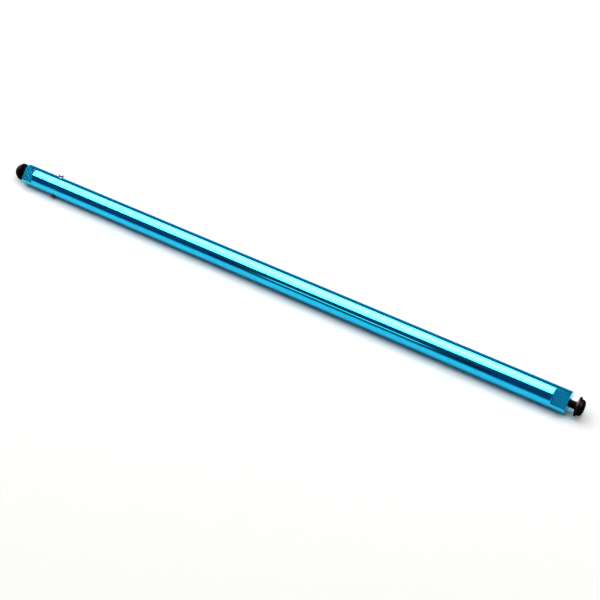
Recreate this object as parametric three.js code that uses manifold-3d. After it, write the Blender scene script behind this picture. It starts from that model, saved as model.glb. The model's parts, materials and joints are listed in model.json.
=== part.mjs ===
// Straight torsion-bar sway bar of a large-scale radio-controlled car.
//
// A polished round aluminium bar turns in two bushings on the chassis. Each end
// has a milled flat, where a drop arm clamps and cannot turn, and a tapped hole
// whose button-head screw and washer keep the arm on. A steel cross pin near
// the left end stops the bar from sliding sideways. Both screws are backed off
// by a few turns, which leaves room to slip the arms on.
//
// Frame, in millimetres: +X along the bar, +Z up, origin on the bar's axis at
// mid-length. The bar lies on a level surface, rolled to where the lower end of
// the cross pin touches that surface.

import * as THREE from 'three';
import { mergeVertices } from 'three/addons/utils/BufferGeometryUtils.js';
import Module from 'manifold-3d';

// Bar
const barLength = 234;
const barDiameter = 8;
const barChamfer = 0.3;
const flatLength = 5.2;
const flatDepth = 1.1;

// Cross pin
const pinDiameter = 2;
const pinProud = 1;
const pinFromLeftEnd = 15.5;
const pinChamfer = 0.25;

// Screws: M3 button head with a 2 mm hex socket
const threadDiameter = 3;
const threadPitch = 0.5;
const screwLength = 10;
const screwTipChamfer = 0.4;
const headDiameter = 5.7;
const headHeight = 1.65;
const headRimHeight = 0.35;
const headCrownDiameter = 3;
const socketAcrossFlats = 2;
const socketDepth = 1;
const turnsBackedOff = 5;

// Washers
const washerDiameter = 6.8;
const washerThickness = 0.6;
const washerEdgeBreak = 0.12;

// Tapped holes
const drillPointAngle = THREE.MathUtils.degToRad(118);
const holeSpareDepth = 1.5;
const holeCountersink = 0.25;

// Clearances
const threadClearance = 0.06;
const shankUndersize = 0.05;
const washerClearance = 0.1;
const headSeatClearance = 0.05;
const tightenedClearance = 0.2;
const pinClearance = 0.05;
const cutterOverrun = 1;

// Facets round each circle
const barFacets = 32;
const screwFacets = 32;
const pinFacets = 24;
const crownSteps = 6;

// Sizes that follow from the ones above
const barRadius = barDiameter / 2;
const pinRadius = pinDiameter / 2;
const pinLength = barDiameter + 2 * pinProud;
const shankRadius = threadDiameter / 2 - shankUndersize;
const holeRadius = threadDiameter / 2 + threadClearance;
const holeDepth = screwLength - washerThickness + holeSpareDepth;
const washerBoreRadius = threadDiameter / 2 + washerClearance;
const washerStandoff = turnsBackedOff * threadPitch + tightenedClearance;
const headStandoff = washerStandoff + washerThickness + headSeatClearance;

// Roll about X at which a corner of the pin's lower end is level with the
// underside of the bar. The chamfer gives that end two corners, and the bar
// stops at the first one that touches.
function rollUntilTouching(alongPin, radius) {
  return Math.asin(barRadius / Math.hypot(alongPin, radius)) - Math.atan2(radius, alongPin);
}
const restRoll = Math.min(
  rollUntilTouching(pinLength / 2 - pinChamfer, pinRadius),
  rollUntilTouching(pinLength / 2, pinRadius - pinChamfer),
);

const blueAnodised = new THREE.MeshStandardMaterial({
  name: 'blue_anodised_aluminium', color: 0x18a9d6, metalness: 1, roughness: 0.12, flatShading: true,
});
const blackOxide = new THREE.MeshStandardMaterial({
  name: 'black_oxide_steel', color: 0x262120, metalness: 0.8, roughness: 0.4, flatShading: true,
});
const groundSteel = new THREE.MeshStandardMaterial({
  name: 'ground_steel', color: 0xb9b4ae, metalness: 1, roughness: 0.2, flatShading: true,
});

const wasm = await Module();
wasm.setup();

// A closed geometry as a manifold solid. Triangles that collapse where an
// outline meets the axis are left out.
function solid(geometry) {
  const bare = geometry.clone();
  bare.deleteAttribute('normal');
  bare.deleteAttribute('uv');
  const merged = mergeVertices(bare, 1e-5);
  const index = merged.index.array;
  const triVerts = [];
  for (let i = 0; i < index.length; i += 3) {
    const [a, b, c] = [index[i], index[i + 1], index[i + 2]];
    if (a !== b && b !== c && c !== a) {
      triVerts.push(a, b, c);
    }
  }
  return new wasm.Manifold(new wasm.Mesh({
    numProp: 3,
    vertProperties: new Float32Array(merged.attributes.position.array),
    triVerts: new Uint32Array(triVerts),
  }));
}

// A solid turned about X from an outline of [along X, radius] points that runs
// towards +X. Facet edges start at startAngle from +Y, towards +Z.
function turned(outline, facets, startAngle = 0) {
  const points = outline.map(([along, radius]) => new THREE.Vector2(radius, along));
  const lathe = new THREE.LatheGeometry(points, facets);
  lathe.rotateZ(-Math.PI / 2);
  lathe.rotateX(startAngle);
  return solid(lathe);
}

function partMesh(name, shape, material) {
  const { vertProperties, triVerts } = shape.getMesh();
  const geometry = new THREE.BufferGeometry();
  geometry.setAttribute('position', new THREE.BufferAttribute(vertProperties, 3));
  geometry.setIndex(new THREE.BufferAttribute(triVerts, 1));
  geometry.computeVertexNormals();
  const mesh = new THREE.Mesh(geometry, material.clone());
  mesh.name = name;
  return mesh;
}

// Tapped hole that opens towards +X at x = 0: countersunk mouth, straight bore
// and drill point.
function tappedHoleCutter() {
  const drillPoint = holeRadius / Math.tan(drillPointAngle / 2);
  const mouthRadius = holeRadius + holeCountersink;
  return turned([
    [-holeDepth - drillPoint, 0],
    [-holeDepth, holeRadius],
    [-holeCountersink, holeRadius],
    [0, mouthRadius],
    [cutterOverrun, mouthRadius],
    [cutterOverrun, 0],
  ], screwFacets);
}

// Block that takes everything above the flat at the end whose face is at x = 0.
function flatCutter() {
  const length = flatLength + cutterOverrun;
  const height = flatDepth + cutterOverrun;
  const block = new THREE.BoxGeometry(length, barDiameter + 2 * cutterOverrun, height);
  block.translate(
    cutterOverrun - length / 2,
    0,
    barRadius - flatDepth + height / 2,
  );
  return solid(block);
}

function pinHoleCutter() {
  const reach = barRadius + cutterOverrun;
  const radius = pinRadius + pinClearance;
  const hole = turned([[-reach, 0], [-reach, radius], [reach, radius], [reach, 0]], pinFacets);
  return hole.rotate([0, 0, 90]);
}

// The bar about X, with its flats facing +Z and its pin hole along Y. The
// facets are turned back by the rest roll, so that one of them lies level
// underneath once the bar is rolled.
function torsionBarShape() {
  const half = barLength / 2;
  const startAngle = -restRoll + Math.PI / barFacets;
  let bar = turned([
    [-half, 0],
    [-half, barRadius - barChamfer],
    [-half + barChamfer, barRadius],
    [half - barChamfer, barRadius],
    [half, barRadius - barChamfer],
    [half, 0],
  ], barFacets, startAngle);
  const endCut = flatCutter().add(tappedHoleCutter());
  bar = bar.subtract(endCut.translate([half, 0, 0]));
  bar = bar.subtract(endCut.mirror([1, 0, 0]).translate([-half, 0, 0]));
  return bar.subtract(pinHoleCutter().translate([pinFromLeftEnd - half, 0, 0]));
}

// Dowel pin along Y.
function crossPinShape() {
  const half = pinLength / 2;
  const pin = turned([
    [-half, 0],
    [-half, pinRadius - pinChamfer],
    [-half + pinChamfer, pinRadius],
    [half - pinChamfer, pinRadius],
    [half, pinRadius - pinChamfer],
    [half, 0],
  ], pinFacets);
  return pin.rotate([0, 0, 90]);
}

// Flat washer whose inner face is at x = 0 and outer face is towards +X.
function washerShape() {
  const outer = washerDiameter / 2;
  return turned([
    [0, washerBoreRadius],
    [0, outer - washerEdgeBreak],
    [washerEdgeBreak, outer],
    [washerThickness - washerEdgeBreak, outer],
    [washerThickness, outer - washerEdgeBreak],
    [washerThickness, washerBoreRadius],
    [0, washerBoreRadius],
  ], screwFacets);
}

// Button-head screw with the underside of its head at x = 0 and its head
// towards +X. The crown is a quarter of an ellipse from the rim to the flat top.
function screwShape() {
  const headRadius = headDiameter / 2;
  const crownRadius = headCrownDiameter / 2;
  const crown = [];
  for (let step = 0; step <= crownSteps; step += 1) {
    const angle = (step / crownSteps) * Math.PI / 2;
    crown.push([
      headRimHeight + (headHeight - headRimHeight) * Math.sin(angle),
      crownRadius + (headRadius - crownRadius) * Math.cos(angle),
    ]);
  }
  const body = turned([
    [-screwLength, 0],
    [-screwLength, shankRadius - screwTipChamfer],
    [-screwLength + screwTipChamfer, shankRadius],
    [0, shankRadius],
    [0, headRadius],
    ...crown,
    [headHeight, 0],
  ], screwFacets);
  const socketRadius = socketAcrossFlats / Math.sqrt(3);
  const socket = turned([
    [headHeight - socketDepth, 0],
    [headHeight - socketDepth, socketRadius],
    [headHeight + cutterOverrun, socketRadius],
    [headHeight + cutterOverrun, 0],
  ], 6);
  return body.subtract(socket);
}

// Washer and screw of one end, in a group whose +X points out of the bar.
function endFasteners(side) {
  const group = new THREE.Group();
  const washer = partMesh(`${side}_washer`, washerShape(), blackOxide);
  washer.position.x = washerStandoff;
  const screw = partMesh(`${side}_screw`, screwShape(), blackOxide);
  screw.position.x = headStandoff;
  group.add(washer, screw);
  return group;
}

const rolledBar = new THREE.Group();
rolledBar.rotation.x = restRoll;
const crossPin = partMesh('cross_pin', crossPinShape(), groundSteel);
crossPin.position.x = pinFromLeftEnd - barLength / 2;
rolledBar.add(partMesh('torsion_bar', torsionBarShape(), blueAnodised), crossPin);

const rightFasteners = endFasteners('right');
rightFasteners.position.x = barLength / 2;

const leftFasteners = endFasteners('left');
leftFasteners.position.x = -barLength / 2;
leftFasteners.rotation.z = Math.PI;

const swayBar = new THREE.Group();
swayBar.name = 'sway_bar';
swayBar.add(rolledBar, leftFasteners, rightFasteners);

export default swayBar;
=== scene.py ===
# Looks of a straight torsion-bar sway bar: polished blue anodised aluminium bar,
# ground steel cross pin, black oxide screws and washers, on a white studio sweep.
# Run as a script in Blender 4.5. Everything is in metres, in the frame's own axes:
# +X along the bar, +Z up, origin on the bar's axis at mid-length.

import json
import math

import bmesh
import bpy
from bpy.props import FloatProperty, FloatVectorProperty, PointerProperty
from bpy.types import Operator, Panel, PropertyGroup
from mathutils import Matrix, Vector


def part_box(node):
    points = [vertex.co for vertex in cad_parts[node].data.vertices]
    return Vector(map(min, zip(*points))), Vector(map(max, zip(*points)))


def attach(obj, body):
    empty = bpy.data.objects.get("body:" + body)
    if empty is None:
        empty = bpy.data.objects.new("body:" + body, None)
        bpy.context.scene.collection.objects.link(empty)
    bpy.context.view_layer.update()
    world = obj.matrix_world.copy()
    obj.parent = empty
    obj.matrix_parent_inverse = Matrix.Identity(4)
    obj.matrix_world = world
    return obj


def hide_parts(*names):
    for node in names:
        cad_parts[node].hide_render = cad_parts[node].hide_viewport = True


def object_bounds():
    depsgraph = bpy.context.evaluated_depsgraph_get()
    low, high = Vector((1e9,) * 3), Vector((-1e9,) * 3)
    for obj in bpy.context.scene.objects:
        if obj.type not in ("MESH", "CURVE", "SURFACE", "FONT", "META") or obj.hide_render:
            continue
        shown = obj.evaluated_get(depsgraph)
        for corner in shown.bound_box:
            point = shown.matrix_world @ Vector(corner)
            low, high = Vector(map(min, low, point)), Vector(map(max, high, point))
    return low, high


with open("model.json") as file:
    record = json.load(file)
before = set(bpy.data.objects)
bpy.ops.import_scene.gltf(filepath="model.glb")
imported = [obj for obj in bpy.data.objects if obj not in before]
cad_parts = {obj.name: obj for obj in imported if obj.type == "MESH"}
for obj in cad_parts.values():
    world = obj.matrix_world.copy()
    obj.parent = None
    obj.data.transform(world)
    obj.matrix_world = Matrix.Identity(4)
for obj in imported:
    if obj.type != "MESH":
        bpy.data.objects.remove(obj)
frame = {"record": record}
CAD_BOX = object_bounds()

bl_info = {
    "name": "Sway Bar Looks",
    "version": (1, 0, 0),
    "blender": (4, 5, 0),
    "location": "3D View > Sidebar > Sway Bar",
    "description": "Builds the detailed pieces of a torsion-bar sway bar and its studio",
    "category": "Mesh",
}

MM = 0.001
TAU = 2 * math.pi

# Sides of the round shapes.
BAR_SEGMENTS = 192
FASTENER_SEGMENTS = 96
PIN_SEGMENTS = 72
DRILL_SEGMENTS = 48

# How far a cutter reaches out past the surface that it cuts.
OVERSHOOT = 1 * MM
# Corners closer than this after a cut are merged.
WELD = 0.0002 * MM
# Faces that lean further apart than this meet in a sharp edge.
SHARP_EDGE = math.radians(30)
DRILL_POINT_ANGLE = math.radians(118)


def linear(hex_colour):
    """Linear RGB of an sRGB hex colour."""
    channels = [int(hex_colour[i:i + 2], 16) / 255 for i in (0, 2, 4)]
    return tuple(c / 12.92 if c <= 0.04045 else ((c + 0.055) / 1.055) ** 2.4 for c in channels)


def mount(name):
    return next(m for m in frame["record"]["mounts"] if m["name"] == name)


# What the frame says about the bar: its ends, the plane of its two flats, and where
# along it the cross pin stands.
BAR_LOW, BAR_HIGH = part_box("torsion_bar")
BAR_LENGTH = BAR_HIGH.x - BAR_LOW.x
FLAT_NORMAL = Vector(mount("right_arm_flat")["axis"])
FLAT_DISTANCE = Vector(mount("right_arm_flat")["pos_m"]).dot(FLAT_NORMAL)
PIN_X = sum(corner.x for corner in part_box("cross_pin")) / 2

# Turns local +Z to the flats' normal, which is square to X.
BAR_ROLL = Matrix.Rotation(math.atan2(-FLAT_NORMAL.y, FLAT_NORMAL.z), 4, "X")


# Colours of the dim room as the metal mirrors it and as matt surfaces get it, and of
# paper in full light. The front colour is also painted on the paper as a dark reflection.
ROOM_FRONT = (*linear("455170"), 1)
ROOM_BACK = (*linear("4b819e"), 1)
ROOM_ON_MATT = (*linear("3f3f3f"), 1)
LIT_PAPER = (*linear("fefefd"), 1)


# ---------------------------------------------------------------- settings

class SwayBarBarSettings(PropertyGroup):
    diameter: FloatProperty(
        name="Diameter", description="Diameter of the round bar",
        default=8 * MM, unit="LENGTH", precision=5)
    flat_length: FloatProperty(
        name="Flat length", description="Length of the milled flat from each end",
        default=5.2 * MM, unit="LENGTH", precision=5)
    end_rounding: FloatProperty(
        name="End rounding", description="Radius of the edge of each end face",
        default=0.3 * MM, unit="LENGTH", precision=5)
    step_rim_break: FloatProperty(
        name="Step rim", description="Small chamfer on the rim of the step behind each flat",
        default=0.1 * MM, unit="LENGTH", precision=5)
    lower_edge_break: FloatProperty(
        name="Lower edge", description="Width of the rounding on the lower long edge of each flat",
        default=0.25 * MM, unit="LENGTH", precision=5)
    step_fillet: FloatProperty(
        name="Step fillet", description="Radius that the cutter's corner leaves at the foot of the step",
        default=0.4 * MM, unit="LENGTH", precision=5)
    hole_diameter: FloatProperty(
        name="Tapped hole", description="Diameter of the hole in each end",
        default=3.06 * MM, unit="LENGTH", precision=5)
    hole_depth: FloatProperty(
        name="Hole depth", description="Depth of the hole in each end",
        default=10.9 * MM, unit="LENGTH", precision=5)
    hole_countersink: FloatProperty(
        name="Countersink", description="Depth and width of the chamfer at the hole's mouth",
        default=0.25 * MM, unit="LENGTH", precision=5)
    colour: FloatVectorProperty(
        name="Anodise", description="Colour of the dyed anodised layer over bright aluminium",
        default=linear("16b7e1"), subtype="COLOR", size=3, min=0, max=1)


class SwayBarPinSettings(PropertyGroup):
    diameter: FloatProperty(
        name="Diameter", description="Diameter of the cross pin",
        default=2 * MM, unit="LENGTH", precision=5)
    proud: FloatProperty(
        name="Proud", description="How far each end stands out of the bar",
        default=1 * MM, unit="LENGTH", precision=5)
    end_radius: FloatProperty(
        name="End radius", description="Rounding at each end of the pin",
        default=0.43 * MM, unit="LENGTH", precision=5)
    colour: FloatVectorProperty(
        name="Steel", description="Colour of bare ground steel",
        default=linear("6e6963"), subtype="COLOR", size=3, min=0, max=1)


class SwayBarFastenerSettings(PropertyGroup):
    thread_diameter: FloatProperty(
        name="Thread", description="Outer diameter of the screw's thread",
        default=2.92 * MM, unit="LENGTH", precision=5)
    pitch: FloatProperty(
        name="Pitch", description="Distance between neighbouring threads",
        default=0.5 * MM, unit="LENGTH", precision=5)
    length: FloatProperty(
        name="Length", description="Length of the screw under its head",
        default=10 * MM, unit="LENGTH", precision=5)
    head_diameter: FloatProperty(
        name="Head diameter", description="Diameter of the button head",
        default=5.7 * MM, unit="LENGTH", precision=5)
    head_height: FloatProperty(
        name="Head height", description="Height of the button head",
        default=1.65 * MM, unit="LENGTH", precision=5)
    socket: FloatProperty(
        name="Socket", description="Hex socket size across its flats",
        default=2 * MM, unit="LENGTH", precision=5)
    socket_depth: FloatProperty(
        name="Socket depth", description="Depth of the hex socket's straight walls",
        default=1 * MM, unit="LENGTH", precision=5)
    washer_diameter: FloatProperty(
        name="Washer diameter", description="Outer diameter of the washers",
        default=6.8 * MM, unit="LENGTH", precision=5)
    washer_bore: FloatProperty(
        name="Washer bore", description="Bore of the washers",
        default=3.2 * MM, unit="LENGTH", precision=5)
    washer_thickness: FloatProperty(
        name="Washer thickness", description="Thickness of the washers",
        default=0.6 * MM, unit="LENGTH", precision=5)
    colour: FloatVectorProperty(
        name="Screw oxide", description="Colour of the oxide layer on the screws",
        default=linear("060505"), subtype="COLOR", size=3, min=0, max=1)
    washer_colour: FloatVectorProperty(
        name="Washer oxide", description="Colour of the thinner oxide layer on the washers",
        default=linear("181415"), subtype="COLOR", size=3, min=0, max=1)


class SwayBarStageSettings(PropertyGroup):
    view_azimuth: FloatProperty(
        name="View azimuth", description="Angle of the camera round the bar, from straight in front",
        default=math.radians(32.08), subtype="ANGLE", unit="ROTATION")
    view_elevation: FloatProperty(
        name="View elevation", description="Angle of the camera above the horizon",
        default=math.radians(43.06), subtype="ANGLE", unit="ROTATION")
    view_distance: FloatProperty(
        name="View distance", description="Distance from the camera to the point it looks at",
        default=391.9 * MM, unit="LENGTH", precision=4)
    view_aim: FloatVectorProperty(
        name="View aim", description="Point that the camera looks at",
        default=(14.76 * MM, -1.34 * MM, -4 * MM), subtype="TRANSLATION", size=3)
    lens: FloatProperty(
        name="Lens", description="Focal length on a 36 mm sensor, in millimetres",
        default=64.8, subtype="DISTANCE_CAMERA", unit="CAMERA")
    floor_size: FloatProperty(
        name="Floor size", description="Side of the square floor",
        default=12, unit="LENGTH")
    softbox_height: FloatProperty(
        name="Softbox height", description="Height of the softbox above the bar",
        default=0.8, unit="LENGTH")
    softbox_strength: FloatProperty(
        name="Softbox strength", description="Brightness of the softbox as the metal mirrors it",
        default=20)
    floor_light: FloatProperty(
        name="Floor light", description="Brightness of the softbox as the matt floor gets it",
        default=2.35)
    window_strength: FloatProperty(
        name="Window strength", description="Brightness of the small window",
        default=2.52)
    floor_colour: FloatVectorProperty(
        name="Floor", description="Colour of the matt white sweep",
        default=linear("f2f2f2"), subtype="COLOR", size=3, min=0, max=1)


SETTINGS = {
    "sway_bar_bar": SwayBarBarSettings,
    "sway_bar_pin": SwayBarPinSettings,
    "sway_bar_fasteners": SwayBarFastenerSettings,
    "sway_bar_stage": SwayBarStageSettings,
}


# ---------------------------------------------------------------- meshes

def link(name, data):
    """A new object for a mesh or a camera, in the scene's collection."""
    piece = bpy.data.objects.new(name, data)
    bpy.context.scene.collection.objects.link(piece)
    return piece


def finish_mesh(name, form):
    """The mesh of a form, which is then freed."""
    mesh = bpy.data.meshes.new(name)
    form.to_mesh(mesh)
    form.free()
    return mesh


def finish_solid(name, form):
    """The mesh of a closed form, with all its faces turned outwards."""
    bmesh.ops.recalc_face_normals(form, faces=form.faces)
    return finish_mesh(name, form)


def revolve(name, rows, segments):
    """A closed mesh round X. A row is (x, radius); the radius is a length, or a function
    of the angle, and 0 closes the mesh at a pole. Rows run towards +X."""
    form = bmesh.new()
    rings = []
    for x, radius in rows:
        if radius == 0:
            rings.append([form.verts.new((x, 0, 0))])
            continue
        ring = []
        for step in range(segments):
            angle = TAU * step / segments
            reach = radius(angle) if callable(radius) else radius
            ring.append(form.verts.new((x, reach * math.cos(angle), reach * math.sin(angle))))
        rings.append(ring)
    for before, after in zip(rings, rings[1:]):
        for step in range(segments):
            corners = [
                before[step % len(before)], before[(step + 1) % len(before)],
                after[(step + 1) % len(after)], after[step % len(after)],
            ]
            form.faces.new(list(dict.fromkeys(corners)))
    if len(rings[0]) > 1 and len(rings[-1]) > 1:
        for step in range(segments):
            form.faces.new((
                rings[-1][step], rings[-1][(step + 1) % segments],
                rings[0][(step + 1) % segments], rings[0][step],
            ))
    return finish_solid(name, form)


def rounded(x, radius, size, start, steps=4):
    """Rows of a quarter-round edge of the given size about (x, radius). It starts at angle
    start, where 0 points towards -X and 90 outwards, and turns on by 90 degrees."""
    rows = []
    for step in range(steps + 1):
        angle = math.radians(start + 90 * step / steps)
        rows.append((x - size * math.cos(angle), radius + size * math.sin(angle)))
    return rows


def cut(piece, cutters):
    """Cuts the cutters' meshes out of a piece and removes them, then merges the corners
    that the cuts leave almost in one place."""
    for cutter in cutters:
        tool = piece.modifiers.new("cut", "BOOLEAN")
        tool.operation = "DIFFERENCE"
        tool.solver = "MANIFOLD"
        tool.object = cutter
    apply_modifiers(piece)
    for cutter in cutters:
        bpy.data.objects.remove(cutter)
    form = bmesh.new()
    form.from_mesh(piece.data)
    bmesh.ops.remove_doubles(form, verts=form.verts, dist=WELD)
    form.to_mesh(piece.data)
    form.free()


def apply_modifiers(piece):
    """Replaces the piece's mesh by what its modifiers make of it."""
    evaluated = piece.evaluated_get(bpy.context.evaluated_depsgraph_get())
    mesh = bpy.data.meshes.new_from_object(evaluated)
    piece.modifiers.clear()
    piece.data = mesh


def set_normals(mesh, round_radius=None):
    """Smooth shading with the true normals of a turned surface. Corners on the round
    surface of the given radius point straight out from X; the others share the normals of
    the faces round them that don't meet theirs in a sharp edge."""
    limit = math.cos(SHARP_EDGE)
    on_surface, most_lean = 0.002 * MM, 0.01
    faces_at = {}
    for face in mesh.polygons:
        for vertex in face.vertices:
            faces_at.setdefault(vertex, []).append(face)
    normals = []
    for face in mesh.polygons:
        face.use_smooth = True
        places = [mesh.vertices[v].co for v in face.vertices]
        is_round = round_radius is not None and abs(face.normal.x) < most_lean and all(
            abs(math.hypot(p.y, p.z) - round_radius) < on_surface for p in places)
        for vertex in face.vertices:
            place = mesh.vertices[vertex].co
            if is_round:
                normals.append(Vector((0, place.y, place.z)).normalized())
                continue
            total = Vector()
            for other in faces_at[vertex]:
                if other.normal.dot(face.normal) > limit:
                    total += other.normal * other.area
            normals.append(total.normalized() if total.length else face.normal.copy())
    mesh.normals_split_custom_set(normals)


# ---------------------------------------------------------------- materials

def add_node(tree, kind, settings=None, links=None):
    """Adds a node. Settings are its own options or its inputs' values by name or number,
    and links go from an output to the input of that name or number."""
    node = tree.nodes.new(kind)
    for key, value in (settings or {}).items():
        if isinstance(key, str) and key in node.bl_rna.properties:
            setattr(node, key, value)
        else:
            node.inputs[key].default_value = value
    for key, output in (links or {}).items():
        tree.links.new(output, node.inputs[key])
    return node


def shades(colour, low, high):
    """The two ends of a colour's slight variation, by the numbers of a Mix node's inputs."""
    return {6: (*[c * low for c in colour], 1), 7: (*[c * high for c in colour], 1)}


def new_material(name):
    material = bpy.data.materials.new(name)
    material.use_nodes = True
    material.node_tree.nodes.clear()
    return material, material.node_tree


def finish_material(tree, surface):
    add_node(tree, "ShaderNodeOutputMaterial", links={"Surface": surface.outputs[0]})


def surface_grain(tree, spacing, detail=2.0):
    """A pattern fixed to the piece, with grains that are spacing = (x, y, z) apart."""
    place = add_node(tree, "ShaderNodeTexCoord")
    scaled = add_node(tree, "ShaderNodeMapping", {"Scale": [1 / s for s in spacing]},
                      {"Vector": place.outputs["Object"]})
    return add_node(tree, "ShaderNodeTexNoise", {"Scale": 1.0, "Detail": detail},
                    {"Vector": scaled.outputs["Vector"]})


def polished_anodised_aluminium(colour):
    """Drawn 6000-series bar, buffed along its length, bright-dipped and dyed blue."""
    material, tree = new_material("polished_anodised_aluminium")
    # Buffing leaves faint lines along the bar, about 0.15 mm apart and 30 mm long. They
    # break the long reflections into slightly uneven streaks.
    lines = surface_grain(tree, (30 * MM, 0.15 * MM, 0.15 * MM))
    # Slow waves left by straightening the bar, which make the edges of the
    # reflections wander a little.
    waves = surface_grain(tree, (25 * MM, 6 * MM, 6 * MM), detail=0.0)
    wave_bump = add_node(tree, "ShaderNodeBump", {"Strength": 0.25, "Distance": 0.02 * MM},
                         {"Height": waves.outputs["Fac"]})
    bump = add_node(tree, "ShaderNodeBump", {"Strength": 0.12, "Distance": 0.004 * MM},
                    {"Height": lines.outputs["Fac"], "Normal": wave_bump.outputs["Normal"]})
    roughness = add_node(tree, "ShaderNodeMapRange",
                         {"To Min": 0.04, "To Max": 0.09}, {"Value": lines.outputs["Fac"]})
    dye = surface_grain(tree, (18 * MM, 3 * MM, 3 * MM))
    tint = add_node(tree, "ShaderNodeMix", {"data_type": "RGBA", **shades(colour, 0.94, 1.04)},
                    {0: dye.outputs["Fac"]})
    shader = add_node(tree, "ShaderNodeBsdfPrincipled", {
        "Metallic": 1.0, "Specular Tint": (*linear("e1ffff"), 1),
        "Coat Weight": 0.09, "Coat Roughness": 0.05, "Coat IOR": 1.77,
    }, {
        "Base Color": tint.outputs[2], "Roughness": roughness.outputs["Result"],
        "Normal": bump.outputs["Normal"],
    })
    finish_material(tree, shader)
    return material


def milled_anodised_aluminium(colour):
    """Flats and end faces, cut by an end mill before anodising and never buffed."""
    material, tree = new_material("milled_anodised_aluminium")
    # The cutter leaves feed marks about 0.12 mm apart, too fine to be seen one by one. They
    # spread the reflections, so the flats look softer than the bar, in faint clouds.
    marks = surface_grain(tree, (0.12 * MM, 2.5 * MM, 2.5 * MM))
    clouds = surface_grain(tree, (1.6 * MM, 1.6 * MM, 1.6 * MM))
    bump = add_node(tree, "ShaderNodeBump", {"Strength": 0.06, "Distance": 0.006 * MM},
                    {"Height": marks.outputs["Fac"]})
    roughness = add_node(tree, "ShaderNodeMapRange",
                         {"To Min": 0.18, "To Max": 0.2}, {"Value": clouds.outputs["Fac"]})
    tint = add_node(tree, "ShaderNodeMix", {"data_type": "RGBA", **shades(colour, 0.95, 1.15)},
                    {0: clouds.outputs["Fac"]})
    shader = add_node(tree, "ShaderNodeBsdfPrincipled", {
        "Metallic": 1.0, "Coat Weight": 0.1, "Coat Roughness": 0.15, "Coat IOR": 1.77,
    }, {
        "Base Color": tint.outputs[2], "Roughness": roughness.outputs["Result"],
        "Normal": bump.outputs["Normal"],
    })
    finish_material(tree, shader)
    return material


def black_oxide_steel(name, colour):
    """Hardened steel with a chemical black oxide layer and a trace of oil."""
    material, tree = new_material(name)
    # The oxide is a little browner and duller in patches of about 0.8 mm, and the
    # forged surface under it has a grain of about 0.1 mm that breaks up the shine.
    patches = surface_grain(tree, (0.8 * MM, 0.8 * MM, 0.8 * MM))
    grain = surface_grain(tree, (0.1 * MM, 0.1 * MM, 0.1 * MM))
    bump = add_node(tree, "ShaderNodeBump", {"Strength": 0.3, "Distance": 0.01 * MM},
                    {"Height": grain.outputs["Fac"]})
    roughness = add_node(tree, "ShaderNodeMapRange",
                         {"To Min": 0.3, "To Max": 0.5}, {"Value": patches.outputs["Fac"]})
    warm = [colour[0] * 1.5, colour[1] * 1.2, colour[2]]
    tint = add_node(tree, "ShaderNodeMix", {
        "data_type": "RGBA", 6: (*colour, 1), 7: (*warm, 1),
    }, {0: patches.outputs["Fac"]})
    shader = add_node(tree, "ShaderNodeBsdfPrincipled", {
        "Metallic": 1.0, "Specular Tint": (*linear("959090"), 1),
    }, {
        "Base Color": tint.outputs[2], "Roughness": roughness.outputs["Result"],
        "Normal": bump.outputs["Normal"],
    })
    finish_material(tree, shader)
    return material


def ground_steel(colour):
    """Hardened dowel pin steel, centreless ground."""
    material, tree = new_material("ground_steel")
    # Grinding leaves marks about 0.06 mm apart, too fine to be seen one by one, which give
    # the pin a satin gleam.
    marks = surface_grain(tree, (1 * MM, 0.06 * MM, 0.06 * MM))
    bump = add_node(tree, "ShaderNodeBump", {"Strength": 0.2, "Distance": 0.004 * MM},
                    {"Height": marks.outputs["Fac"]})
    roughness = add_node(tree, "ShaderNodeMapRange",
                         {"To Min": 0.1, "To Max": 0.2}, {"Value": marks.outputs["Fac"]})
    shader = add_node(tree, "ShaderNodeBsdfPrincipled", {
        "Base Color": (*colour, 1), "Metallic": 1.0, "Specular Tint": (*linear("898989"), 1),
    }, {"Roughness": roughness.outputs["Result"], "Normal": bump.outputs["Normal"]})
    finish_material(tree, shader)
    return material


# ---------------------------------------------------------------- pieces

def bar_blank(settings):
    """The round bar about X with rounded end edges, before it is cut."""
    radius, half, edge = settings.diameter / 2, BAR_LENGTH / 2, settings.end_rounding
    stations = 24
    straight = half - edge
    left_edge = rounded(-straight, radius - edge, edge, 0)
    rows = [(-half, 0)] + left_edge
    rows += [(-straight + 2 * straight * k / stations, radius) for k in range(1, stations)]
    rows += [(-x, r) for x, r in reversed(left_edge)]
    rows.append((half, 0))
    return revolve("torsion_bar", rows, BAR_SEGMENTS)


def prism(name, outline, low, high):
    """A closed mesh along X from low to high. The outline is of (y, z) points."""
    form = bmesh.new()
    ends = [[form.verts.new((x, y, z)) for y, z in outline] for x in (low, high)]
    form.faces.new(ends[0])
    form.faces.new(ends[1])
    for k in range(len(outline)):
        n = (k + 1) % len(outline)
        form.faces.new((ends[0][k], ends[0][n], ends[1][n], ends[1][k]))
    return finish_solid(name, form)


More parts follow.
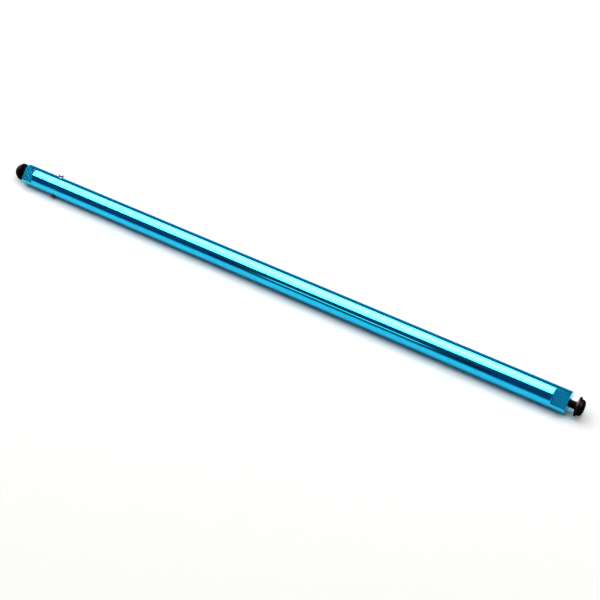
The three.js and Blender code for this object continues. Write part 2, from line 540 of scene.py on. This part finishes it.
def flat_cutters(settings, side):
    """What the end mill takes off one end, with local +Z as the flat's normal: the flat with
    a fillet at the foot of its step, the rounded lower edge, and the chamfered rim."""
    radius, fillet, rim = settings.diameter / 2, settings.step_fillet, settings.step_rim_break
    start, end = BAR_LENGTH / 2 - settings.flat_length, BAR_LENGTH / 2 + OVERSHOOT
    top = radius + OVERSHOOT
    outline = rounded(start + fillet, FLAT_DISTANCE + fillet, fillet, -90, steps=6)
    outline += [(start, top), (end, top), (end, FLAT_DISTANCE)]
    flat = prism("flat_cutter", outline, -top, top)
    flat.transform(Matrix.Rotation(-math.pi / 2, 4, "Z"))

    half_angle = math.acos(FLAT_DISTANCE / radius)
    width = settings.lower_edge_break
    corner = Vector((-radius * math.sin(half_angle), FLAT_DISTANCE))
    on_flat = corner + Vector((width, 0))
    below = half_angle + width / radius
    on_round = Vector((-radius * math.sin(below), radius * math.cos(below)))
    outline, curve_steps = [], 4
    for k in range(curve_steps + 1):
        t = k / curve_steps
        outline.append((1 - t) ** 2 * on_flat + 2 * t * (1 - t) * corner + t ** 2 * on_round)
    outline += [on_round + (on_round - corner), Vector((-top, top)), Vector((on_flat.x, top))]
    edge = prism("edge_cutter", outline, start, end)

    # The rim's cutter is a hair larger than the chamfer, so that no faces coincide.
    sliver = 0.01 * MM
    profile = [(start - rim - sliver, radius + sliver), (start + sliver, radius - rim - sliver),
               (start + sliver, radius + sliver)]
    chamfer = arc_sweep("rim_cutter", profile, half_angle, steps=48)
    cutters = []
    for mesh in (flat, edge, chamfer):
        if side < 0:
            mesh.transform(Matrix.Diagonal((-1, 1, 1, 1)))
            mesh.flip_normals()
        cutters.append(link(mesh.name, mesh))
    return cutters


def arc_sweep(name, profile, half_angle, steps):
    """A closed mesh: a profile of (x, radius) points swept about X, from -half_angle to
    half_angle on either side of +Z."""
    form = bmesh.new()
    sections = []
    for k in range(steps + 1):
        angle = half_angle * (2 * k / steps - 1)
        sections.append([
            form.verts.new((x, r * math.sin(angle), r * math.cos(angle))) for x, r in profile])
    for before, after in zip(sections, sections[1:]):
        for k in range(len(profile)):
            n = (k + 1) % len(profile)
            form.faces.new((before[k], before[n], after[n], after[k]))
    form.faces.new(sections[0])
    form.faces.new(sections[-1])
    return finish_solid(name, form)


def tapped_hole_cutter(settings, side):
    """Drilled and countersunk hole of one end, opening towards side = -1 or 1 along X."""
    radius = settings.hole_diameter / 2
    mouth = radius + settings.hole_countersink
    drill_point = radius / math.tan(DRILL_POINT_ANGLE / 2)
    mesh = revolve("tapped_hole_cutter", [
        (-settings.hole_depth - drill_point, 0), (-settings.hole_depth, radius),
        (-settings.hole_countersink, radius), (0, mouth), (OVERSHOOT, mouth), (OVERSHOOT, 0),
    ], FASTENER_SEGMENTS)
    cutter = link("tapped_hole_cutter", mesh)
    turn = Matrix.Identity(4) if side > 0 else Matrix.Rotation(math.pi, 4, "Z")
    cutter.matrix_world = Matrix.Translation((side * BAR_LENGTH / 2, 0, 0)) @ turn
    return cutter


def pin_hole_cutter(settings, pin):
    """Reamed hole for the cross pin."""
    reach = settings.diameter / 2 + OVERSHOOT
    clearance = 0.01 * MM
    radius = pin.diameter / 2 + clearance
    mesh = revolve("pin_hole_cutter", [
        (-reach, 0), (-reach, radius), (reach, radius), (reach, 0),
    ], FASTENER_SEGMENTS)
    cutter = link("pin_hole_cutter", mesh)
    cutter.matrix_world = Matrix.Translation((PIN_X, 0, 0)) @ Matrix.Rotation(math.pi / 2, 4, "Z")
    return cutter


class SWAYBAR_OT_build_bar(Operator):
    """Build the anodised torsion bar with its flats, tapped ends and pin hole"""
    bl_idname = "sway_bar.build_bar"
    bl_label = "Torsion Bar"

    def execute(self, context):
        settings = context.scene.sway_bar_bar
        bar = link("anodised_bar", bar_blank(settings))
        cutters = [pin_hole_cutter(settings, context.scene.sway_bar_pin)]
        for side in (-1, 1):
            cutters.append(tapped_hole_cutter(settings, side))
            cutters += flat_cutters(settings, side)
        cut(bar, cutters)
        bar.data.name = "anodised_bar"
        bar.data.transform(BAR_ROLL)
        set_normals(bar.data, settings.diameter / 2)
        bar.data.materials.clear()
        bar.data.materials.append(polished_anodised_aluminium(settings.colour))
        bar.data.materials.append(milled_anodised_aluminium(settings.colour))
        # Every surface below the polished skin is a cut one, apart from the end edges.
        skin, square_on = 0.02 * MM, 0.999
        for face in bar.data.polygons:
            middle = face.center
            inside = math.hypot(middle.y, middle.z) < settings.diameter / 2 - skin
            is_flat = face.normal.dot(FLAT_NORMAL) > square_on
            clear_of_end = abs(middle.x) < BAR_LENGTH / 2 - settings.end_rounding
            is_end = abs(face.normal.x) > square_on
            face.material_index = 1 if is_end or inside and (is_flat or clear_of_end) else 0
        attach(bar, "bar")
        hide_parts("torsion_bar")
        return {"FINISHED"}


class SWAYBAR_OT_build_pin(Operator):
    """Build the ground steel pin that crosses the bar near its left end"""
    bl_idname = "sway_bar.build_pin"
    bl_label = "Cross Pin"

    def execute(self, context):
        settings = context.scene.sway_bar_pin
        half = context.scene.sway_bar_bar.diameter / 2 + settings.proud
        radius, edge = settings.diameter / 2, settings.end_radius
        left_end = [(-half, 0)] + rounded(-half + edge, radius - edge, edge, 0)
        right_end = [(-x, r) for x, r in reversed(left_end)]
        mesh = revolve("dowel_pin", left_end + right_end, PIN_SEGMENTS)
        mesh.transform(Matrix.Rotation(math.pi / 2, 4, "Z"))
        mesh.transform(Matrix.Translation((PIN_X, 0, 0)))
        mesh.transform(BAR_ROLL)
        set_normals(mesh)
        pin = link("dowel_pin", mesh)
        mesh.materials.append(ground_steel(settings.colour))
        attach(pin, "bar")
        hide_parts("cross_pin")
        return {"FINISHED"}


def outward(side, node):
    """Turn and shift that take a piece built towards +X to the end where node is. It is
    placed by the node's inner face."""
    low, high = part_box(node)
    if side == "right":
        return Matrix.Translation((low.x, 0, 0))
    return Matrix.Translation((high.x, 0, 0)) @ Matrix.Rotation(math.pi, 4, "Z")


class SWAYBAR_OT_build_washers(Operator):
    """Build the black washer under each screw's head"""
    bl_idname = "sway_bar.build_washers"
    bl_label = "Washers"

    def execute(self, context):
        settings = context.scene.sway_bar_fasteners
        bore, outer = settings.washer_bore / 2, settings.washer_diameter / 2
        thickness = settings.washer_thickness
        # The punch leaves one face with soft edges and the other with crisp ones.
        soft, crisp = 0.14 * MM, 0.04 * MM
        outline = [(0, bore + crisp), (0, outer - crisp), (crisp, outer)]
        outline += rounded(thickness - soft, outer - soft, soft, 90)
        outline += [(thickness, bore + soft), (thickness - soft, bore), (crisp, bore)]
        oxide = black_oxide_steel("black_oxide_stamped_steel", settings.washer_colour)
        for side in ("left", "right"):
            mesh = revolve(f"{side}_flat_washer", outline, FASTENER_SEGMENTS)
            set_normals(mesh)
            mesh.materials.append(oxide)
            washer = link(f"{side}_flat_washer", mesh)
            washer.matrix_world = outward(side, f"{side}_washer")
            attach(washer, f"{side}_washer")
            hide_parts(f"{side}_washer")
        return {"FINISHED"}


def thread_radius(settings, x):
    """Radius of a 60 degree thread at x, as a function of the angle. The crest is an eighth
    and the root a quarter of the pitch wide."""
    crest = settings.thread_diameter / 2
    depth = 0.613 * settings.pitch
    half_crest, half_root = 1 / 16, 1 / 8
    flank = 1 / 2 - half_crest - half_root

    def radius(angle):
        along = (x / settings.pitch - angle / TAU) % 1
        from_crest = min(along, 1 - along)
        return crest - depth * min(max((from_crest - half_crest) / flank, 0), 1)

    return radius


def screw_rows(settings):
    """Outline of a button-head screw from its tip to the middle of its head, with the
    underside of the head at x = 0."""
    crest = settings.thread_diameter / 2
    head = settings.head_diameter / 2
    height = settings.head_height
    tip = -settings.length
    point, runout = 0.45 * MM, 0.5 * MM
    threaded = settings.length - point - runout
    rows_per_pitch = 10
    count = round(threaded / settings.pitch * rows_per_pitch)
    rows = [(tip, 0), (tip, crest - point)]
    for k in range(count + 1):
        x = tip + point + threaded * k / count
        rows.append((x, thread_radius(settings, x)))
    # A short plain neck, flaring a little where it meets the head.
    neck, flare = crest - 0.1 * MM, 0.1 * MM
    rows += [(-runout * 0.6, neck), (-flare, neck), (0, crest)]
    rim, broken_edge = 0.3 * MM, 0.08 * MM
    rows += [(0, head - broken_edge), (broken_edge, head), (rim, head)]
    crown, dome_steps = 1.5 * MM, 14
    for k in range(1, dome_steps + 1):
        angle = math.pi / 2 * k / dome_steps
        x = rim + (height - rim) * math.sin(angle)
        rows.append((x, crown + (head - crown) * math.cos(angle)))
    rows.append((height, 0))
    return rows


def socket_cutters(settings):
    """Hex socket with a drilled point below it and a small countersink at its mouth."""
    hexagon_sides = 6
    apex = settings.socket / math.sqrt(3)
    height = settings.head_height
    floor, above = height - settings.socket_depth, height + OVERSHOOT
    hexagon = link("socket_cutter", revolve("socket_cutter", [
        (floor, 0), (floor, apex), (above, apex), (above, 0),
    ], hexagon_sides))
    # The hole drilled before the socket is broached is a little smaller than its flats.
    drilled = settings.socket / 2 * 0.96
    tip, shoulder = floor - 0.3 * MM, floor + 0.1 * MM
    drill = link("drill_cutter", revolve("drill_cutter", [
        (tip, 0), (shoulder, drilled), (height, drilled), (height, 0),
    ], DRILL_SEGMENTS))
    sink, brim = height - 0.3 * MM, height + 0.02 * MM
    narrow, mouth = apex - 0.18 * MM, apex + 0.12 * MM
    countersink = link("countersink_cutter", revolve("countersink_cutter", [
        (sink, 0), (sink, narrow), (brim, mouth), (above, mouth), (above, 0),
    ], DRILL_SEGMENTS))
    return [hexagon, drill, countersink]


class SWAYBAR_OT_build_screws(Operator):
    """Build the black button-head screw of each end"""
    bl_idname = "sway_bar.build_screws"
    bl_label = "Screws"

    def execute(self, context):
        settings = context.scene.sway_bar_fasteners
        oxide = black_oxide_steel("black_oxide_forged_steel", settings.colour)
        for side in ("left", "right"):
            name = f"{side}_button_screw"
            screw = link(name, revolve(name, screw_rows(settings), FASTENER_SEGMENTS))
            cut(screw, socket_cutters(settings))
            screw.data.name = name
            set_normals(screw.data)
            screw.data.materials.clear()
            screw.data.materials.append(oxide)
            place = outward(side, f"{side}_screw")
            screw.matrix_world = place @ Matrix.Translation((settings.length, 0, 0))
            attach(screw, f"{side}_screw")
            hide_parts(f"{side}_screw")
        return {"FINISHED"}


# ---------------------------------------------------------------- stage

def rectangle(width, depth):
    """Corners of a rectangle about the origin, as (x, y) points."""
    return [(x * width / 2, y * depth / 2) for x, y in ((-1, -1), (1, -1), (1, 1), (-1, 1))]


def flat_object(name, corners):
    """A flat face through the given corners."""
    mesh = bpy.data.meshes.new(name)
    mesh.from_pydata(corners, [], [tuple(range(len(corners)))])
    return link(name, mesh)


# How the light falls across the edge of a panel: steps of the fading width out from the
# outline, and the share of the full light there.
PANEL_FALL = ((-0.5, 1.0), (0.0, 0.36), (0.5, 0.04), (1.4, 0.014), (2.6, 0.0))


def light_panel(name, outline, to_world, strength, fade, colour="ffffff", core=None, core_gain=1.0):
    """Diffuser cloth lit from behind. The outline is of (x, y) points and to_world takes
    them to their places. The light falls steeply over the given width, half of it inside
    the outline, and a faint spill goes on beyond. Within core, an (x, y, radius), it rises
    to core_gain times the strength."""
    centre = Vector([sum(axis) / len(outline) for axis in zip(*outline)])
    form = bmesh.new()
    glow = form.verts.layers.float.new("glow")
    rings = []
    for grow, value in PANEL_FALL:
        ring = []
        for point in outline:
            away = Vector(point) - centre
            at = centre + away * (1 + grow * fade / away.length)
            vertex = form.verts.new((at.x, at.y, 0))
            vertex[glow] = value
            ring.append(vertex)
        rings.append(ring)
    form.faces.new(rings[0])
    for inner, outer in zip(rings, rings[1:]):
        for k in range(len(outline)):
            n = (k + 1) % len(outline)
            form.faces.new((inner[k], inner[n], outer[n], outer[k]))
    mesh = finish_mesh(name, form)
    panel = link(name, mesh)
    panel.matrix_world = to_world
    material, tree = new_material(name)
    cloth = add_node(tree, "ShaderNodeAttribute", {"attribute_name": "glow"})
    light = add_node(tree, "ShaderNodeMath", {"operation": "MULTIPLY", 1: strength},
                     {0: cloth.outputs["Fac"]})
    if core:
        place = add_node(tree, "ShaderNodeTexCoord")
        away = add_node(tree, "ShaderNodeVectorMath",
                        {"operation": "DISTANCE", 1: (core[0], core[1], 0)},
                        {0: place.outputs["Object"]})
        gain = add_node(tree, "ShaderNodeMapRange", {
            "interpolation_type": "SMOOTHSTEP", "From Min": 0.0, "From Max": core[2],
            "To Min": core_gain, "To Max": 1.0,
        }, {"Value": away.outputs["Value"]})
        light = add_node(tree, "ShaderNodeMath", {"operation": "MULTIPLY"},
                         {0: light.outputs[0], 1: gain.outputs["Result"]})
    finish_material(tree, add_node(tree, "ShaderNodeEmission", {"Color": (*linear(colour), 1)},
                                   {"Strength": light.outputs[0]}))
    mesh.materials.append(material)
    panel.visible_camera = False
    panel.visible_shadow = False
    return panel


def white_sweep(colour):
    """Matt white paper. Far from the object it glows like paper lit by lamps of its own,
    so that it stays white up to the horizon."""
    material, tree = new_material("matt_white_sweep")
    glow_from, glow_full = 220 * MM, 600 * MM
    place = add_node(tree, "ShaderNodeTexCoord")
    away = add_node(tree, "ShaderNodeVectorMath", {"operation": "LENGTH"}, {0: place.outputs["Object"]})
    far = add_node(tree, "ShaderNodeMapRange", {
        "interpolation_type": "SMOOTHSTEP", "From Min": glow_from, "From Max": glow_full,
    }, {"Value": away.outputs["Value"]})
    paper = add_node(tree, "ShaderNodeBsdfPrincipled", {
        "Base Color": (*colour, 1), "Roughness": 0.9, "Specular IOR Level": 0.1,
    })
    lit = add_node(tree, "ShaderNodeEmission", {"Color": LIT_PAPER, "Strength": 1.0})
    sweep = add_node(tree, "ShaderNodeMixShader", links={
        0: far.outputs["Result"], 1: paper.outputs[0], 2: lit.outputs[0],
    })
    # Painted dark reflection: only glossy rays see the paper, from a few centimetres in front of
    # the bar and behind it, turn mostly to the dim room's colour, as if black cards stood there,
    # so that the dark bands in the metal end softly.
    axes = add_node(tree, "ShaderNodeSeparateXYZ", links={0: place.outputs["Object"]})
    painted_reflection_ramps = []
    for start, full, share in ((-12 * MM, -50 * MM, 0.85), (10 * MM, 50 * MM, 0.75)):
        painted_reflection_ramps.append(add_node(tree, "ShaderNodeMapRange", {
            "interpolation_type": "SMOOTHSTEP", "From Min": start, "From Max": full, "To Max": share,
        }, {"Value": axes.outputs["Y"]}))
    front, behind = painted_reflection_ramps
    beyond = add_node(tree, "ShaderNodeMath", {"operation": "ADD"},
                      {0: front.outputs["Result"], 1: behind.outputs["Result"]})
    ray = add_node(tree, "ShaderNodeLightPath")
    painted_reflection_share = add_node(tree, "ShaderNodeMath", {"operation": "MULTIPLY"},
                      {0: beyond.outputs[0], 1: ray.outputs["Is Glossy Ray"]})
    # Painted dark reflection: the dim room's colour that glossy rays see on the paper away from the bar.
    painted_dark_reflection = add_node(tree, "ShaderNodeEmission", {"Color": ROOM_FRONT, "Strength": 1.0})
    finish_material(tree, add_node(tree, "ShaderNodeMixShader", links={
        0: painted_reflection_share.outputs[0], 1: sweep.outputs[0], 2: painted_dark_reflection.outputs[0],
    }))
    return material


def studio_world():
    """A dim blue-grey room: darkest in front of the bar, lighter behind it. It sheds a dim
    grey on matt surfaces, and beyond the floor the camera sees lit paper."""
    world = bpy.data.worlds.new("studio")
    world.use_nodes = True
    tree = world.node_tree
    tree.nodes.clear()
    place = add_node(tree, "ShaderNodeTexCoord")
    axes = add_node(tree, "ShaderNodeSeparateXYZ", links={0: place.outputs["Generated"]})
    back = add_node(tree, "ShaderNodeMapRange", {
        "interpolation_type": "SMOOTHSTEP", "From Min": -0.2, "From Max": 0.6,
    }, {"Value": axes.outputs["Y"]})
    room = add_node(tree, "ShaderNodeMix", {
        "data_type": "RGBA", 6: ROOM_FRONT, 7: ROOM_BACK,
    }, {0: back.outputs["Result"]})
    ray = add_node(tree, "ShaderNodeLightPath")
    matt = add_node(tree, "ShaderNodeMix", {
        "data_type": "RGBA", 7: ROOM_ON_MATT,
    }, {0: ray.outputs["Is Diffuse Ray"], 6: room.outputs[2]})
    seen = add_node(tree, "ShaderNodeMix", {
        "data_type": "RGBA", 7: LIT_PAPER,
    }, {0: ray.outputs["Is Camera Ray"], 6: matt.outputs[2]})
    background = add_node(tree, "ShaderNodeBackground", links={"Color": seen.outputs[2]})
    add_node(tree, "ShaderNodeOutputWorld", links={"Surface": background.outputs[0]})
    return world


class SWAYBAR_OT_build_stage(Operator):
    """Build the white floor, the softbox, the dim room and the camera"""
    bl_idname = "sway_bar.build_stage"
    bl_label = "Studio"

    def execute(self, context):
        settings = context.scene.sway_bar_stage
        scene = context.scene
        floor = flat_object("studio_floor", [
            (x, y, CAD_BOX[0].z) for x, y in rectangle(settings.floor_size, settings.floor_size)])
        floor.data.materials.append(white_sweep(settings.floor_colour))

        # One softbox, made twice: the one that the metal mirrors is much brighter than
        # the one that lights the matt floor, which would burn out otherwise.
        outline = [
            (-1.3, -0.2), (-0.73, -0.5), (-0.4, -0.59), (-0.09, -0.38), (0.35, -0.2), (1.6, -0.2),
            (1.6, 0.5), (0.05, 0.58), (-0.14, 0.82), (-0.44, 0.73), (-0.78, 0.62), (-1.3, 0.45),
        ]
        overhead = Matrix.Translation((0, 0, settings.softbox_height))
        softbox_fade = 0.09
        mirrored = light_panel(
            "softbox_mirrored", outline, overhead, settings.softbox_strength, softbox_fade,
            core=(-0.2, 0.2, 0.6), core_gain=1.9)
        mirrored.visible_diffuse = False
        diffuse = light_panel(
            "softbox_diffuse", outline, overhead, settings.floor_light, softbox_fade,
            colour="fffefc")
        diffuse.visible_glossy = False

        # A warm window low in front, left of the middle, that the metal mirrors too.
        window_width, window_height, window_fade = 0.24, 0.16, 0.04
        upright = Matrix.Translation((-0.32, -0.91, 0.25)) @ Matrix.Rotation(math.pi / 2, 4, "X")
        window = light_panel(
            "window", rectangle(window_width, window_height), upright, settings.window_strength,
            window_fade, colour="ffe1c7")
        window.visible_diffuse = False

        azimuth, elevation = settings.view_azimuth, settings.view_elevation
        back_towards = Vector((
            math.sin(azimuth) * math.cos(elevation),
            -math.cos(azimuth) * math.cos(elevation),
            math.sin(elevation),
        ))
        camera = link("camera", bpy.data.cameras.new("camera"))
        camera.data.sensor_width = 36
        camera.data.lens = settings.lens
        camera.data.clip_start = 0.01
        camera.location = Vector(settings.view_aim) + back_towards * settings.view_distance
        camera.rotation_mode = "QUATERNION"
        camera.rotation_quaternion = (-back_towards).to_track_quat("-Z", "Y")
        scene.camera = camera
        scene.world = studio_world()
        scene.view_settings.view_transform = "Standard"
        return {"FINISHED"}


class SWAYBAR_PT_panel(Panel):
    """Lists the pieces and their sizes"""
    bl_idname = "SWAYBAR_PT_panel"
    bl_label = "Sway Bar"
    bl_space_type = "VIEW_3D"
    bl_region_type = "UI"
    bl_category = "Sway Bar"

    def draw(self, context):
        for operator in OPERATORS:
            self.layout.operator(operator.bl_idname)
        for name, group in SETTINGS.items():
            box = self.layout.box()
            for key in group.__annotations__:
                box.prop(getattr(context.scene, name), key)


OPERATORS = (
    SWAYBAR_OT_build_stage,
    SWAYBAR_OT_build_bar,
    SWAYBAR_OT_build_pin,
    SWAYBAR_OT_build_washers,
    SWAYBAR_OT_build_screws,
)


def register():
    for cls in (*SETTINGS.values(), *OPERATORS, SWAYBAR_PT_panel):
        bpy.utils.register_class(cls)
    for name, group in SETTINGS.items():
        setattr(bpy.types.Scene, name, PointerProperty(type=group))


def unregister():
    for name in SETTINGS:
        delattr(bpy.types.Scene, name)
    for cls in reversed((*SETTINGS.values(), *OPERATORS, SWAYBAR_PT_panel)):
        bpy.utils.unregister_class(cls)


def main():
    register()
    bpy.ops.sway_bar.build_stage()
    bpy.ops.sway_bar.build_bar()
    bpy.ops.sway_bar.build_pin()
    bpy.ops.sway_bar.build_washers()
    bpy.ops.sway_bar.build_screws()


if __name__ == "__main__":
    main()
